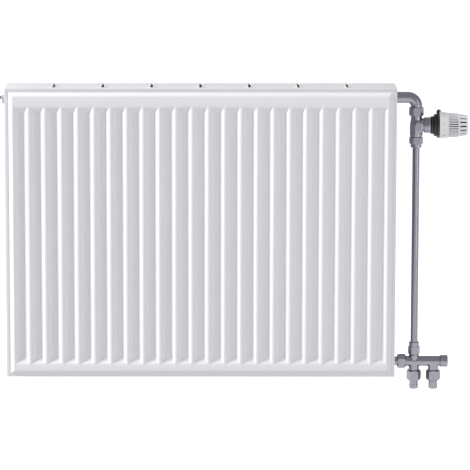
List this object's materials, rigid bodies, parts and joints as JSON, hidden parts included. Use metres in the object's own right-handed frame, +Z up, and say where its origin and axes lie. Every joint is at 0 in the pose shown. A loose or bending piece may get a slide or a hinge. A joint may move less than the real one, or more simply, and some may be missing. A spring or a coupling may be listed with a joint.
{
  "type": "panel radiator",
  "caption": "Compact double-panel steel radiator with top grille, side casings, wall brackets and a side-mounted thermostatic valve set with pipe manifold.",
  "frame": {"origin": "centre of the four wall-screw holes of the two brackets, in the plane of the wall, which is the middle of the radiator's height", "axes": "+X along the radiator's length towards the valve end, +Y into the wall, +Z up"},
  "size_m": [0.9607, 0.13, 0.6325],
  "materials": {
    "white_enamel": "gloss",
    "white_primer": "satin",
    "bracket_coating": "satin",
    "nickel_plate": "satin",
    "bare_brass": "satin",
    "chromed_pipe": "polished",
    "spring_steel": "satin",
    "dark_plastic": "matte",
    "white_plastic": "satin",
    "seal_rubber": "matte",
    "seal_fibre": "matte",
    "liner_plastic": "matte",
    "sensor_capsule": "satin"
  },
  "bodies": {
    "radiator": {"front_panel_outer_sheet": "white_enamel", "front_panel_inner_sheet": "white_enamel", "rear_panel_inner_sheet": "white_enamel", "rear_panel_outer_sheet": "white_enamel", "front_convector": "white_primer", "rear_convector": "white_primer", "top_left_tapping_tee": "white_enamel", "top_right_tapping_tee": "white_enamel", "bottom_left_tapping_tee": "white_enamel", "bottom_right_tapping_tee": "white_enamel", "left_side_panel": "white_enamel", "right_side_panel": "white_enamel", "hanging_lugs": "white_enamel", "bracket_liners": "liner_plastic", "left_wall_bracket": "bracket_coating", "right_wall_bracket": "bracket_coating", "tapping_seals": "seal_rubber", "air_vent_plug": "white_enamel", "blanking_plug": "nickel_plate", "connecting_bend": "nickel_plate", "upper_union_nut": "nickel_plate", "union_gasket": "seal_fibre", "valve_body": "nickel_plate", "lower_compression_nut": "nickel_plate", "riser_pipe": "chromed_pipe", "valve_insert": "nickel_plate", "stem_spring": "spring_steel", "head_ring_nut": "nickel_plate", "head_base": "dark_plastic", "head_pointer": "dark_plastic", "manifold_body": "nickel_plate", "manifold_riser_nut": "nickel_plate", "flow_pipe_nut": "nickel_plate", "flow_pipe_tail": "nickel_plate", "return_pipe_nut": "nickel_plate", "return_pipe_tail": "nickel_plate", "pipe_olives": "bare_brass", "manifold_union_nut": "nickel_plate", "manifold_gasket": "seal_fibre", "manifold_union_tail": "nickel_plate", "manifold_end_cap": "nickel_plate"},
    "cover": {"top_grille": "white_enamel", "grille_clips": "spring_steel"},
    "handwheel": {"head_handwheel": "white_plastic", "head_end_cap": "white_plastic", "head_spring": "spring_steel"},
    "sensor": {"head_sensor": "sensor_capsule", "head_push_pin": "white_plastic"},
    "stem": {"valve_stem": "spring_steel", "valve_washer": "seal_rubber"},
    "vent_screw": {"air_vent_screw": "nickel_plate"},
    "vent_nozzle": {"air_vent_nozzle": "white_plastic"},
    "balance_spindle": {"balance_spindle": "bare_brass"}
  },
  "joints": [
    {"name": "grille_lift", "type": "slide", "parent": "radiator", "child": "cover", "axis": [0, 0, 1], "range_m": [0, 0.05]},
    {"name": "handwheel_turn", "type": "hinge", "parent": "radiator", "child": "handwheel", "pos_m": [0.5, -0.08, 0.218], "axis": [1, 0, 0], "range_deg": [-135, 150]},
    {"name": "sensor_slide", "type": "slide", "parent": "radiator", "child": "sensor", "axis": [1, 0, 0], "range_m": [-0.0011, 0.0012], "deforming": ["head_spring"]},
    {"name": "stem_slide", "type": "slide", "parent": "radiator", "child": "stem", "axis": [1, 0, 0], "range_m": [-0.0011, 0.0012], "deforming": ["stem_spring"]},
    {"name": "vent_screw_turn", "type": "hinge", "parent": "radiator", "child": "vent_screw", "pos_m": [-0.4, -0.08, 0.275], "axis": [-1, 0, 0], "range_deg": [0, 270]},
    {"name": "vent_nozzle_swivel", "type": "hinge", "parent": "radiator", "child": "vent_nozzle", "pos_m": [-0.404, -0.08, 0.275], "axis": [-1, 0, 0], "continuous": true},
    {"name": "balance_spindle_turn", "type": "hinge", "parent": "radiator", "child": "balance_spindle", "pos_m": [0.5, -0.08, -0.275], "axis": [1, 0, 0], "range_deg": [-90, 180]}
  ],
  "couplings": [
    {"joint": "sensor_slide", "follows": "handwheel_turn", "m_per_rad": 0.00042},
    {"joint": "stem_slide", "follows": "handwheel_turn", "m_per_rad": 0.00042}
  ]
}
